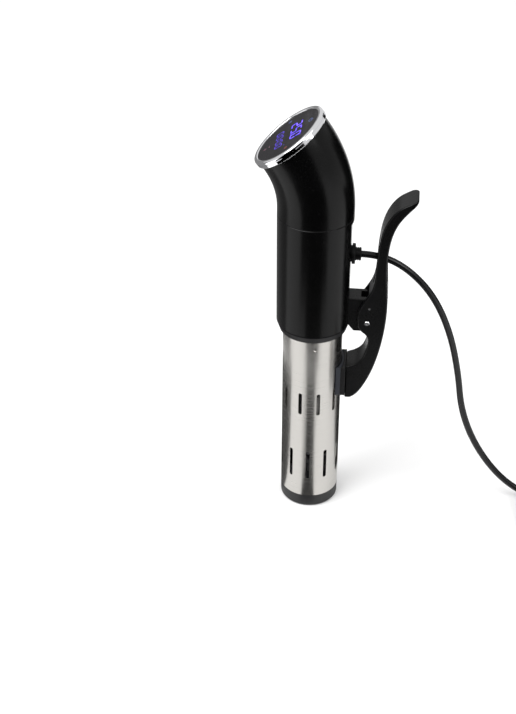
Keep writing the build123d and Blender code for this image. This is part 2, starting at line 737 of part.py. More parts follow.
# ---------------------------------------------------------------- clip
BRACKET_TOP = 211.0
BRACKET_BOTTOM = 180.0
NOTCH_LOW = 203.0
with BuildPart() as clip_bracket:
    with BuildSketch(Plane.YZ.offset(-BRACKET_HALF)):
        with BuildLine():
            Polyline(
                (BACK_FLAT, BRACKET_TOP),
                (BACK_FLAT, 186),
                (34, BRACKET_BOTTOM),
                (46.5, BRACKET_BOTTOM),
                (51, 185),
                (51, 195),
                (48, 200),
                (48, BRACKET_TOP),
                (BACK_FLAT, BRACKET_TOP),
            )
        make_face()
    extrude(amount=2 * BRACKET_HALF)
    fillet(clip_bracket.edges().filter_by(Axis.Z).group_by(Axis.Y)[-2:], radius=0.8)
    chamfer(clip_bracket.edges().filter_by(Axis.Y).group_by(Axis.Z)[-1], length=0.6)
    with BuildSketch(Plane.XY.offset(BRACKET_BOTTOM - 1)):
        Circle(BODY_R_BOTTOM)
    extrude(amount=COLLAR_TOP + 1.1 - BRACKET_BOTTOM, mode=Mode.SUBTRACT)
    with BuildSketch(Plane.YZ.offset(-4.5)):
        with Locations((46, 197.5)):
            Rectangle(14, 29)
    extrude(amount=9, mode=Mode.SUBTRACT)
    with BuildSketch(Plane.YZ.offset(-BRACKET_HALF)):
        with Locations((PIVOT_Y, PIVOT_Z)):
            Circle(PIN_R)
    extrude(amount=2 * BRACKET_HALF, mode=Mode.SUBTRACT)
    with BuildSketch(Plane.YZ.offset(-BRACKET_HALF)):
        with Locations((45.5, NOTCH_LOW + 1.7)):
            Rectangle(9, 3.4)
    extrude(amount=2 * BRACKET_HALF, mode=Mode.SUBTRACT)
    with BuildSketch(Plane.XZ.offset(-BACK_FLAT)):
        with Locations(*[(0, height) for height in SCREW_HEIGHTS]):
            Circle(1.5)
    extrude(amount=-8, mode=Mode.SUBTRACT)
save(clip_bracket.part, "clip_bracket")

with BuildPart() as bracket_screws:
    with BuildSketch(Plane.XZ.offset(-BACK_INNER)):
        with Locations(*[(0, height) for height in SCREW_HEIGHTS]):
            Circle(1.5)
    extrude(amount=-10)
    with BuildSketch(Plane.XZ.offset(2.2 - BACK_INNER)):
        with Locations(*[(0, height) for height in SCREW_HEIGHTS]):
            Circle(2.8)
    extrude(amount=-2.2)
save(bracket_screws.part, "bracket_screws")

with BuildPart() as clip_lever:
    with BuildSketch(Plane.YZ.offset(-LEVER_HALF)):
        with BuildLine():
            Spline(
                (80.2, 304.9),
                (66.0, 297.3),
                (55.6, 281.5),
                (51.4, 261.0),
                (50.2, 240.0),
                (47.6, 221.5),
                (42.0, 210.5),
                (37.6, 200.5),
                (37.2, 190.0),
                tangents=[(-0.93, -0.37), (0, -1)],
            )
            Spline(
                (37.2, 190.0),
                (39.5, 182.6),
                (45.2, 177.0),
                (45.3, 164.0),
                (40.8, 152.2),
                (JAW_Y, 145.0),
                tangents=[(0, -1), (-1, -0.35)],
            )
            Line((JAW_Y, 145.0), (JAW_Y, 113.8))
            Line((JAW_Y, 113.8), (34.0, 113.8))
            Spline(
                (34.0, 113.8),
                (43.3, 124.6),
                (53.0, 149.0),
                (59.2, 180.0),
                (60.9, 207.0),
                (59.3, 236.0),
                (60.1, 262.7),
                (66.8, 285.0),
                (81.2, 303.9),
                tangents=[(0.9, 0.45), (0.6, 0.8)],
            )
            Line((81.2, 303.9), (80.2, 304.9))
        make_face()
    extrude(amount=2 * LEVER_HALF)
    with BuildSketch(Plane.YZ.offset(-CHEEK_INNER)):
        with BuildLine():
            Polyline((30, 178), (56.2, 178), (56.2, 216.5), (30, 216.5), (30, 178))
        make_face()
    extrude(amount=2 * CHEEK_INNER, mode=Mode.SUBTRACT)
    with BuildSketch(Plane.XZ.offset(-45)):
        with Locations((0, 245)):
            SlotOverall(44, 13.4, rotation=90)
    extrude(amount=-25, mode=Mode.SUBTRACT)
    with BuildSketch(Plane.YZ.offset(-LEVER_HALF)):
        with Locations((PIVOT_Y, PIVOT_Z)):
            Circle(PIN_R + RUNNING_GAP)
        with Locations((STUD_Y, STUD_Z)):
            Circle(STUD_R)
    extrude(amount=2 * LEVER_HALF, mode=Mode.SUBTRACT)
save(clip_lever.part, "clip_lever")

PIN_HALF = LEVER_HALF + 0.5
with BuildPart() as pivot_pin:
    with BuildSketch(Plane.YZ.offset(-PIN_HALF)):
        with Locations((PIVOT_Y, PIVOT_Z)):
            Circle(PIN_R)
    extrude(amount=2 * PIN_HALF)
    chamfer(pivot_pin.edges().filter_by(GeomType.CIRCLE), length=0.4)
    for end_x in (-PIN_HALF, PIN_HALF):
        with BuildSketch(Plane.YZ.offset(end_x)):
            with Locations((PIVOT_Y, PIVOT_Z)):
                Circle(0.8)
        extrude(amount=0.6, both=True, mode=Mode.SUBTRACT)
save(pivot_pin.part, "pivot_pin")

with BuildPart() as spring_stud:
    with BuildSketch(Plane.YZ.offset(-LEVER_HALF - 0.1)):
        with Locations((STUD_Y, STUD_Z)):
            Circle(STUD_R)
    extrude(amount=2 * LEVER_HALF + 0.2)
save(spring_stud.part, "spring_stud")

SPRING_R = 3.4
WIRE_R = 0.55
SPRING_HALF = 2.8
with BuildPart() as clip_spring:
    with BuildLine() as spring_wire:
        Helix(
            pitch=SPRING_HALF / 2,
            height=2 * SPRING_HALF,
            radius=SPRING_R,
            center=(-SPRING_HALF, PIVOT_Y, PIVOT_Z),
            direction=(1, 0, 0),
        )
    with BuildSketch(Plane(origin=spring_wire.line @ 0, z_dir=spring_wire.line % 0)):
        Circle(WIRE_R)
    sweep(path=spring_wire.line, is_frenet=True)
    with BuildSketch(Plane(origin=spring_wire.line @ 1, z_dir=spring_wire.line % 1)):
        Circle(WIRE_R)
    extrude(amount=5.5)
    with BuildSketch(Plane(origin=spring_wire.line @ 0, z_dir=spring_wire.line % 0 * -1)):
        Circle(WIRE_R)
    extrude(amount=10.5)
save(clip_spring.part, "clip_spring")

PAD_SEAM_R = 46.9
PAD_SEAM_Y = 27.3 - PAD_SEAM_R
with BuildPart() as pad_carrier:
    with BuildSketch(Plane.XY.offset(PAD_BOTTOM)):
        with Locations((0, JAW_Y - 4)):
            Rectangle(2 * PAD_HALF, 8)
        with Locations((0, PAD_SEAM_Y)):
            Circle(PAD_SEAM_R, mode=Mode.SUBTRACT)
    extrude(amount=PAD_TOP - PAD_BOTTOM)
save(pad_carrier.part, "pad_carrier")

with BuildPart() as jaw_pad:
    with BuildSketch(Plane.XY.offset(PAD_BOTTOM)):
        with Locations((0, PAD_SEAM_Y)):
            Circle(PAD_SEAM_R)
        with Locations((0, JAW_Y - 5)):
            Rectangle(2 * PAD_HALF, 10, mode=Mode.INTERSECT)
        Circle(PAD_FACE_R, mode=Mode.SUBTRACT)
    extrude(amount=PAD_TOP - PAD_BOTTOM)
save(jaw_pad.part, "jaw_pad")
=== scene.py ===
import logging
from dataclasses import dataclass, field
from enum import Enum
from math import cos, radians, sin
from typing import Callable, Optional, Sequence, Union

import bpy
import numpy as np
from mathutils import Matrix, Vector


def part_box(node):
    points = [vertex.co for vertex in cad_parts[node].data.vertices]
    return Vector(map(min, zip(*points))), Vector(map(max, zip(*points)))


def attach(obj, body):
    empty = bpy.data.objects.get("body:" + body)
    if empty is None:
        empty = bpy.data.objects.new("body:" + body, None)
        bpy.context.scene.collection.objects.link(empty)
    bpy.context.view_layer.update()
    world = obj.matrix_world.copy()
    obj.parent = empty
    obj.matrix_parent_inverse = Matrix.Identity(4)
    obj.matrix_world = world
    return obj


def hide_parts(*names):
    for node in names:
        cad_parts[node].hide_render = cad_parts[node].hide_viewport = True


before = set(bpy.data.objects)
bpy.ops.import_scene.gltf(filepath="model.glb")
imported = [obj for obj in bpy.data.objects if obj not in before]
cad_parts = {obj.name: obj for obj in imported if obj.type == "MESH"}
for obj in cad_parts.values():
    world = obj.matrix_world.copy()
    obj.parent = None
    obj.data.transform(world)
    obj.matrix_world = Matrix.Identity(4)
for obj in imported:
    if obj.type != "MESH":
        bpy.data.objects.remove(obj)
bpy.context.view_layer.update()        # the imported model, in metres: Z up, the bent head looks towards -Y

LOG = logging.getLogger("circulator")
MM = 0.001
Point = tuple[float, float]
Reach = Union[float, np.ndarray]
Colour = tuple[float, float, float]        # also a place in space
Value = Union["Sock", float, Colour]


# ---- shader maths
class Sock:
    """A shader output that Python arithmetic can work on."""

    def __init__(self, graph: "Graph", socket: bpy.types.NodeSocket) -> None:
        """Wrap one output socket of a graph."""
        self.graph = graph
        self.socket = socket

    def _math(self, operation: str, *values: Value) -> "Sock":
        """Add a Math node.

        Args:
            operation: the Math node's operation.
            values: its inputs in order.

        Returns:
            The node's result.
        """
        return self.graph.node("ShaderNodeMath", {"operation": operation}, dict(enumerate(values)))

    def __add__(self, other: Value) -> "Sock":
        """Add."""
        return self._math("ADD", self, other)

    __radd__ = __add__

    def __sub__(self, other: Value) -> "Sock":
        """Subtract the other from this."""
        return self._math("SUBTRACT", self, other)

    def __rsub__(self, other: Value) -> "Sock":
        """Subtract this from the other."""
        return self._math("SUBTRACT", other, self)

    def __mul__(self, other: Value) -> "Sock":
        """Multiply."""
        return self._math("MULTIPLY", self, other)

    __rmul__ = __mul__

    def above(self, edge: float, width: float) -> "Sock":
        """Return 0 below the edge and 1 past it, with a ramp of the given width."""
        return self.graph.node(
            "ShaderNodeMapRange",
            {"interpolation_type": "SMOOTHSTEP"},
            {"Value": self, "From Min": edge, "From Max": edge + width},
        )


class Graph:
    """The node tree of one material, filled through one method."""

    def __init__(self, tree: bpy.types.NodeTree) -> None:
        """Start an empty tree."""
        self.tree = tree
        tree.nodes.clear()

    def node(
        self,
        kind: str,
        settings: Optional[dict] = None,
        inputs: Optional[dict] = None,
        output: Union[int, str] = 0,
    ) -> Sock:
        """Add any node.

        Args:
            kind: the node's type.
            settings: attributes, set before the inputs.
            inputs: values or links of its sockets, by name or number.
            output: the output wanted, by name or number.

        Returns:
            That output.
        """
        made = self.tree.nodes.new(kind)
        for name, value in (settings or {}).items():
            setattr(made, name, value)
        for name, value in (inputs or {}).items():
            socket = made.inputs[name]
            if isinstance(value, Sock):
                self.tree.links.new(value.socket, socket)
            elif isinstance(value, tuple) and socket.type == "RGBA":
                socket.default_value = (*value, 1.0)
            else:
                socket.default_value = value
        return Sock(self, made.outputs[output])

    def show(self, shader: Sock, kind: str = "ShaderNodeOutputMaterial") -> None:
        """End the tree: link a shader to an output node of this kind."""
        out = self.tree.nodes.new(kind)
        self.tree.links.new(shader.socket, out.inputs["Surface"])

    def place(self, stretch: Colour = (1.0, 1.0, 1.0)) -> Sock:
        """Return Object coordinates, stretched by a factor on each axis."""
        here = self.node("ShaderNodeTexCoord", output="Object")
        return self.node("ShaderNodeVectorMath", {"operation": "MULTIPLY"}, {0: here, 1: stretch})

    def noise(
        self, scale: float, detail: float = 3.0, place: Optional[Sock] = None, rough: float = 0.55
    ) -> Sock:
        """Return a noise value.

        Args:
            scale: cycles per metre.
            detail: octaves.
            place: the coordinates it is read at, by default the object's own.
            rough: how much the finer octaves count.

        Returns:
            A value about 0.5.
        """
        place = place or self.place()
        inputs = {"Vector": place, "Scale": scale, "Detail": detail, "Roughness": rough}
        return self.node("ShaderNodeTexNoise", None, inputs)

    def cells(self, scale: float) -> Sock:
        """Return the distance to the nearest of many random points, scale of them per metre."""
        return self.node("ShaderNodeTexVoronoi", None, {"Vector": self.place(), "Scale": scale})

    def mix(self, share: Value, first: Value, second: Value) -> Sock:
        """Return a colour between two, where share is how much of the second there is."""
        inputs = {0: share, 6: first, 7: second}
        return self.node("ShaderNodeMix", {"data_type": "RGBA"}, inputs, 2)

    def bump(self, height: Sock, depth: float, strength: float = 1.0) -> Sock:
        """Return a normal for a height map whose full range stands depth metres."""
        inputs = {"Height": height, "Distance": depth, "Strength": strength}
        return self.node("ShaderNodeBump", None, inputs)


# ---- finishes
@dataclass(frozen=True)
class Finish:
    """One surface finish; a child class says what its shader's sockets get."""

    name: str

    def sockets(self, graph: Graph) -> dict[str, Value]:
        """Return the shader's inputs."""
        raise NotImplementedError

    def material(self) -> bpy.types.Material:
        """Return the finish's material, made the first time it is asked for."""
        label = "finish_" + self.name
        made = bpy.data.materials.get(label)
        if made is None:
            made = bpy.data.materials.new(label)
            made.use_nodes = True
            graph = Graph(made.node_tree)
            graph.show(graph.node("ShaderNodeBsdfPrincipled", None, self.sockets(graph)))
        return made


@dataclass(frozen=True)
class MouldedPlastic(Finish):
    """Black moulded plastic: fine spark-eroded grain, faint handling marks and dust."""

    tone: float = 0.006
    tint: Colour = (1.0, 1.0, 1.05)
    roughness: float = 0.34
    gloss: float = 0.3
    grain: float = 1500.0
    depth: float = 0.00002
    dust: float = 0.004

    def sockets(self, graph: Graph) -> dict[str, Value]:
        """Return the inputs: grain in the bump, marks in the roughness, dust in the colour."""
        grain = graph.noise(self.grain, 2.0)
        marks = graph.noise(38.0, 4.0)
        specks = graph.noise(900.0, 1.0).above(0.68, 0.05)
        base = tuple(self.tone * part for part in self.tint)
        worn = tuple(self.tone * 1.6 * part for part in self.tint)
        pale = tuple(self.tone + self.dust * 3 for _ in range(3))
        colour = graph.mix(specks * 0.35, graph.mix(marks, base, worn), pale)
        return {
            "Base Color": colour,
            "Roughness": marks.above(0.4, 0.3) * 0.05 + grain * 0.06 + (self.roughness - 0.05),
            "Specular IOR Level": self.gloss,
            "Normal": graph.bump(grain, self.depth, 0.6),
        }


class Brush(Enum):
    """The way that fine brushing runs: the stretch of its noise along each axis."""

    AROUND_Z = (1.0, 1.0, 90.0)
    ALONG_X = (1.0, 60.0, 60.0)
    NONE = (25.0, 25.0, 25.0)


@dataclass(frozen=True)
class Metal(Finish):
    """Bare or plated metal with brush lines, a slow change of tone and faint stains."""

    tone: Colour = (0.66, 0.65, 0.63)
    roughness: float = 0.28
    brush: Brush = Brush.NONE
    lines: float = 0.16
    depth: float = 0.000012

    def sockets(self, graph: Graph) -> dict[str, Value]:
        """Return the inputs: brush lines move the roughness, tone and normal together."""
        streak = graph.noise(28.0, 4.0, graph.place(self.brush.value), 0.65)
        cloud = graph.noise(22.0, 3.0)
        dull = tuple(0.86 * part for part in self.tone)
        colour = graph.mix(streak * 0.6 + cloud * 0.3, self.tone, dull)
        return {
            "Base Color": colour,
            "Metallic": 1.0,
            "Roughness": (
                (streak - 0.5) * self.lines + (cloud - 0.5) * 0.08 + self.roughness
            ),
            "Normal": graph.bump(streak, self.depth, 0.5),
        }


@dataclass(frozen=True)
class ChromePlate(Finish):
    """Bright plate over moulded plastic: nearly a mirror, with a slight orange peel."""

    tone: Colour = (0.90, 0.90, 0.92)

    def sockets(self, graph: Graph) -> dict[str, Value]:
        """Return the inputs: a mirror with slow waves and thin smears."""
        smear = graph.noise(60.0, 3.0, graph.place((1.0, 2.5, 1.0)))
        wave = graph.noise(150.0, 1.0)
        return {
            "Base Color": graph.mix(smear, self.tone, tuple(0.95 * part for part in self.tone)),
            "Metallic": 1.0,
            "Roughness": smear.above(0.45, 0.4) * 0.07 + 0.05,
            "Normal": graph.bump(wave, 0.000008, 0.4),
        }


@dataclass(frozen=True)
class BlackGlass(Finish):
    """Toughened glass over a black back print, with faint finger smears."""

    tone: Colour = (0.004, 0.003, 0.005)
    gloss: float = 0.3

    def sockets(self, graph: Graph) -> dict[str, Value]:
        """Return the inputs: smears dull the glass and lift its tone a little."""
        smear = graph.noise(75.0, 4.0, graph.place((1.0, 2.2, 1.0))).above(0.42, 0.3)
        return {
            "Base Color": graph.mix(smear * 0.5, self.tone, (0.008, 0.007, 0.010)),
            "Roughness": smear * 0.06 + 0.07,
            "Specular IOR Level": self.gloss,
            "Normal": graph.bump(graph.noise(40.0, 1.0), 0.000004, 0.3),
        }


@dataclass(frozen=True)
class LitMark(Finish):
    """A lit segment or icon: a diffuser that is brighter over each lamp."""

    bright: Colour
    dim: Colour
    power: float

    def sockets(self, graph: Graph) -> dict[str, Value]:
        """Return the inputs: lamp spots in the emission, frosting in the roughness."""
        lamps = graph.cells(650.0).above(0.2, 0.5)
        return {
            "Base Color": (0.02, 0.02, 0.03),
            "Roughness": graph.noise(900.0) * 0.1 + 0.2,
            "Emission Color": graph.mix(lamps, self.bright, self.dim),
            "Emission Strength": self.power,
        }


@dataclass(frozen=True)
class SoftRubber(Finish):
    """Soft moulded rubber: matt, finely pebbled, paler where it has been rubbed."""

    tone: Colour = (0.045, 0.050, 0.060)
    roughness: float = 0.62
    grain: float = 900.0

    def sockets(self, graph: Graph) -> dict[str, Value]:
        """Return the inputs: pebbling in the bump, rubbed patches and lint in the colour."""
        pebble = graph.cells(self.grain)
        rub = graph.noise(70.0, 4.0)
        lint = graph.noise(1300.0, 1.0).above(0.7, 0.05)
        pale = tuple(1.7 * part for part in self.tone)
        return {
            "Base Color": graph.mix(
                lint * 0.3, graph.mix(rub, self.tone, pale), (0.12, 0.12, 0.13)
            ),
            "Roughness": rub * 0.14 + (self.roughness - 0.07),
            "Specular IOR Level": 0.35,
            "Normal": graph.bump(pebble, 0.00004, 0.5),
        }


@dataclass(frozen=True)
class CordSheath(Finish):
    """Extruded PVC sheath: smooth and glossy, with slow drawing waves."""

    def sockets(self, graph: Graph) -> dict[str, Value]:
        """Return the inputs: drawing waves in the bump, dull handling patches."""
        wave = graph.noise(260.0, 2.0)
        patch = graph.noise(45.0, 3.0)
        return {
            "Base Color": graph.mix(
                patch, (0.002, 0.002, 0.0025), (0.004, 0.004, 0.0045)
            ),
            "Roughness": patch.above(0.4, 0.3) * 0.09 + 0.20,
            "Specular IOR Level": 0.3,
            "Normal": graph.bump(wave, 0.00005, 0.5),
        }


@dataclass(frozen=True)
class BoardLaminate(Finish):
    """Solder mask over copper: darker mask, paler tracks and bright pads."""

    def sockets(self, graph: Graph) -> dict[str, Value]:
        """Return the inputs: tracks from the edges of noise bands, pads from cells."""
        bands = graph.noise(220.0, 1.0)
        track = bands.above(0.47, 0.01) - bands.above(0.53, 0.01)
        pad = 1.0 - graph.cells(320.0).above(0.12, 0.03)
        mask = graph.mix(track, (0.012, 0.085, 0.035), (0.03, 0.17, 0.07))
        return {
            "Base Color": graph.mix(pad, mask, (0.62, 0.60, 0.55)),
            "Metallic": pad * 0.9,
            "Roughness": pad * 0.1 + 0.32,
            "Normal": graph.bump(track, 0.00004),
        }


@dataclass(frozen=True)
class CastPart(Finish):
    """A dull moulded or sintered part: speckled, with tooling haze."""

    tone: Colour = (0.1, 0.1, 0.1)
    roughness: float = 0.55
    metallic: float = 0.0
    grain: float = 1400.0

    def sockets(self, graph: Graph) -> dict[str, Value]:
        """Return the inputs: speckle in the colour and bump, haze in the roughness."""
        speckle = graph.cells(self.grain)
        haze = graph.noise(80.0, 3.0)
        pale = tuple(min(1.0, 1.35 * part) for part in self.tone)
        return {
            "Base Color": graph.mix(speckle * 0.7 + haze * 0.2, pale, self.tone),
            "Metallic": self.metallic,
            "Roughness": haze * 0.2 + (self.roughness - 0.1),
            "Normal": graph.bump(speckle, 0.00003, 0.5),
        }


@dataclass(frozen=True)
class StudioFloor(Finish):
    """Pale seamless board."""

    def sockets(self, graph: Graph) -> dict[str, Value]:
        """Return the inputs: matt white with a breath of tone."""
        tone = graph.noise(3.0, 2.0)
        colour = graph.mix(tone, (0.93, 0.93, 0.93), (0.96, 0.96, 0.96))
        return {"Base Color": colour, "Roughness": 0.9}


SHELL = MouldedPlastic("satin_shell", tone=0.0008, roughness=0.24, gloss=0.17)
COLLAR = MouldedPlastic("collar_band", tone=0.008, roughness=0.48, gloss=0.20)
CLIP = MouldedPlastic("clip_plastic", tone=0.0026, roughness=0.28, gloss=0.17, grain=1100.0)
GLAND = MouldedPlastic("gland_nylon", tone=0.002, roughness=0.40, gloss=0.14, grain=2000.0)
BASE = MouldedPlastic("base_plastic", tone=0.010, roughness=0.50, gloss=0.35)
PLUG = MouldedPlastic("plug_plastic", tone=0.009, roughness=0.40, gloss=0.40)
CARRIER = MouldedPlastic("carrier_plastic", tone=0.005, roughness=0.45, gloss=0.20)
CHROME = ChromePlate("chrome_ring")
GLASS = BlackGlass("panel_glass")
DIGITS_BRIGHT = LitMark("digits_bright", (0.20, 0.11, 1.0), (0.07, 0.03, 0.8), 1.9)
DIGITS_DIM = LitMark("digits_dim", (0.09, 0.03, 0.75), (0.04, 0.015, 0.45), 1.2)
ICON_BLUE = LitMark("icon_blue", (0.25, 0.35, 0.75), (0.12, 0.18, 0.5), 0.6)
ICON_RED = LitMark("icon_red", (0.8, 0.12, 0.06), (0.5, 0.06, 0.03), 0.4)
ICON_PINK = LitMark("icon_pink", (0.55, 0.22, 0.30), (0.3, 0.12, 0.18), 0.5)
SKIRT = Metal("skirt_steel", (0.54, 0.525, 0.50), 0.25, Brush.AROUND_Z)
PIN = Metal("pin_steel", (0.78, 0.78, 0.79), 0.16, Brush.ALONG_X, 0.08)
SHAFT = Metal("shaft_steel", (0.65, 0.65, 0.66), 0.20, Brush.AROUND_Z, 0.10)
PLATED = Metal("plated_steel", (0.58, 0.58, 0.60), 0.33)
ALUMINIUM = Metal("extruded_aluminium", (0.75, 0.75, 0.76), 0.36, Brush.AROUND_Z)
BRASS = Metal("plated_brass", (0.80, 0.68, 0.42), 0.22, Brush.ALONG_X, 0.10)
BRONZE = CastPart("sintered_bronze", (0.55, 0.40, 0.22), 0.42, 0.85)
MAGNET = CastPart("sintered_ferrite", (0.05, 0.05, 0.055), 0.5)
MODULE = CastPart("module_plastic", (0.42, 0.42, 0.42), 0.5)
FRAME = CastPart("frame_plastic", (0.15, 0.15, 0.16), 0.55)
COMPONENT = CastPart("component_case", (0.03, 0.03, 0.03), 0.4)
WINDING = CastPart("choke_winding", (0.16, 0.07, 0.03), 0.35, 0.3, 700.0)
FAN = CastPart("fan_plastic", (0.07, 0.07, 0.075), 0.45)
FILM = CastPart("sensor_film", (0.25, 0.20, 0.12), 0.4)
BOARD = BoardLaminate("board")
SEAL = SoftRubber("seal_rubber", (0.02, 0.02, 0.02), 0.6)
PAD = SoftRubber("pad_rubber", (0.014, 0.016, 0.021), 0.62)
SHEATH = CordSheath("cord_sheath")

CAD_FINISHES: dict[Finish, tuple[str, ...]] = {
    SHELL: ("head_shell", "body_shell"),
    COLLAR: ("bottom_collar",),
    CLIP: ("clip_bracket",),
    GLAND: ("gland_flange", "cable_gland", "gland_nut"),
    BASE: ("end_cap", "heater_base", "bayonet_ring"),
    CHROME: ("chrome_bezel",),
    GLASS: ("display_glass",),
    FILM: ("touch_sensor",),
    MODULE: ("digit_modules",),
    BOARD: ("display_board", "power_board"),
    FRAME: ("head_frame", "chassis", "shaft_guide"),
    PLATED: (
        "display_screws", "motor_screws", "bracket_screws", "motor_can", "ring_clip",
    ),
    COMPONENT: ("buzzer", "capacitors", "relay"),
    WINDING: ("line_choke",),
    ALUMINIUM: ("heat_sink", "shaft_coupling"),
    SHAFT: (
        "motor_shaft", "drive_shaft", "heating_element", "temperature_probe",
        "level_electrodes",
    ),
    BRONZE: ("motor_bushings", "lower_bushing"),
    MAGNET: ("motor_magnets", "motor_rotor"),
    FAN: ("cooling_fan", "impeller"),
    SEAL: ("seam_gasket", "base_seal", "shaft_seal"),
    SKIRT: ("steel_skirt",),
    PIN: ("pivot_pin", "spring_stud", "clip_spring"),
    PLUG: ("plug_body",),
    BRASS: ("plug_pins",),
}


# ---- meshes
def add_object(name: str, data: bpy.types.ID) -> bpy.types.Object:
    """Put a new object with this data into the scene, at the origin."""
    made = bpy.data.objects.new(name, data)
    bpy.context.scene.collection.objects.link(made)
    return made


def add_mesh(
    name: str, points: np.ndarray, faces: Sequence[Sequence[int]], smooth: bool = True
) -> bpy.types.Object:
    """Make an object from points in metres and faces that index them.

    Args:
        name: the object's name.
        points: an array of shape (count, 3).
        faces: corners of each face, counter-clockwise from outside.
        smooth: whether faces are shaded smooth.

    Returns:
        The new object.
    """
    mesh = bpy.data.meshes.new(name)
    corners = [list(map(int, face)) for face in faces]
    mesh.from_pydata(np.asarray(points, float).tolist(), [], corners)
    mesh.polygons.foreach_set("use_smooth", np.full(len(mesh.polygons), smooth))
    mesh.update()
    return add_object(name, mesh)


def tube_faces(rows: int, columns: int) -> list[np.ndarray]:
    """Return the faces of a closed tube of rings: its sides, then a cap at either end."""
    row, column = np.meshgrid(np.arange(rows - 1), np.arange(columns), indexing="ij")
    after = (column + 1) % columns
    this, below = row * columns, (row + 1) * columns
    corners = (below + column, below + after, this + after, this + column)
    cap = np.arange(columns)
    sides = np.stack([part.ravel() for part in corners], axis=1)
    return [*sides, cap, cap[::-1] + (rows - 1) * columns]


def prism_faces(count: int, start: int = 0) -> list[np.ndarray]:
    """Return the faces of a prism: count points of its top, then as many of its foot."""
    top = np.arange(count) + start
    after = np.roll(top, -1)
    sides = np.stack([top, top + count, after + count, after], axis=1)
    return [top, top[::-1] + count, *sides]


def ring(angle: np.ndarray, radius: Reach, centre: Point = (0.0, 0.0)) -> np.ndarray:
    """Return the points of a circle at these angles, in radians."""
    return np.column_stack([np.cos(angle), np.sin(angle)]) * radius + centre


def round_angles(count: int) -> np.ndarray:
    """Return count even angles of a full turn."""
    return np.linspace(0, 2 * np.pi, count, endpoint=False)


def spline_through(
    knots: Sequence[Point], start: Point, end: Point, steps: int = 24
) -> np.ndarray:
    """Return points on the smooth cubic through the knots.

    The parameter is the chord length. Slopes m solve h1*m0 + 2*(h0 + h1)*m1 + h0*m2
    = 3*(h1*d0 + h0*d1), where h is a run's length and d its direction, with the
    end slopes given; each run is then the Hermite cubic of its ends.

    Args:
        knots: the points it passes through.
        start: its direction at the first knot.
        end: its direction at the last knot.
        steps: points on each run.

    Returns:
        An array of shape (count, 2) that leaves out the last knot.
    """
    knot = np.array(knots, float)
    run = np.linalg.norm(np.diff(knot, axis=0), axis=1)
    slope = np.diff(knot, axis=0) / run[:, None]
    count = len(knot)
    matrix = np.eye(count)
    right = np.zeros((count, 2))
    right[0] = np.array(start) / np.linalg.norm(start)
    right[-1] = np.array(end) / np.linalg.norm(end)
    inner = np.arange(1, count - 1)
    matrix[inner, inner - 1] = run[1:]
    matrix[inner, inner] = 2 * (run[:-1] + run[1:])
    matrix[inner, inner + 1] = run[:-1]
    right[inner] = 3 * (run[1:, None] * slope[:-1] + run[:-1, None] * slope[1:])
    along = np.linalg.solve(matrix, right)
    t = np.linspace(0, 1, steps, endpoint=False)[None, :, None]
    length = run[:, None, None]
    curve = (
        (2 * t**3 - 3 * t**2 + 1) * knot[:-1, None]
        + (t**3 - 2 * t**2 + t) * length * along[:-1, None]
        + (3 * t**2 - 2 * t**3) * knot[1:, None]
        + (t**3 - t**2) * length * along[1:, None]
    )
    return curve.reshape(-1, 2)


def even_loop(points: np.ndarray, count: int, blur: float) -> np.ndarray:
    """Space a closed outline evenly and round its corners.

    The outline is read at equal steps of its own length and each point becomes the
    mean of its neighbours, weighted by a bell curve of width blur along the outline.

    Args:
        points: corners of the outline, shape (any, 2).
        count: points wanted.
        blur: width of the bell curve, in the outline's unit.

    Returns:
        An array of shape (count, 2).
    """
    closed = np.vstack([points, points[:1]])
    step = np.linalg.norm(np.diff(closed, axis=0), axis=1)
    place = np.concatenate([[0], np.cumsum(step)])
    wanted = np.linspace(0, place[-1], count, endpoint=False)
    even = np.stack([np.interp(wanted, place, closed[:, axis]) for axis in range(2)], axis=1)
    away = np.minimum(np.arange(count), count - np.arange(count)) * place[-1] / count
    bell = np.exp(-0.5 * (away / max(blur, 1e-6)) ** 2)
    weight = np.fft.fft(bell / bell.sum())[:, None]
    return np.real(np.fft.ifft(np.fft.fft(even, axis=0) * weight, axis=0))


class Facing(Enum):
    """Which way a slab's thickness runs: the columns that its outline and height go to."""

    ACROSS_X = (1, 2, 0)
    UP_Z = (0, 1, 2)


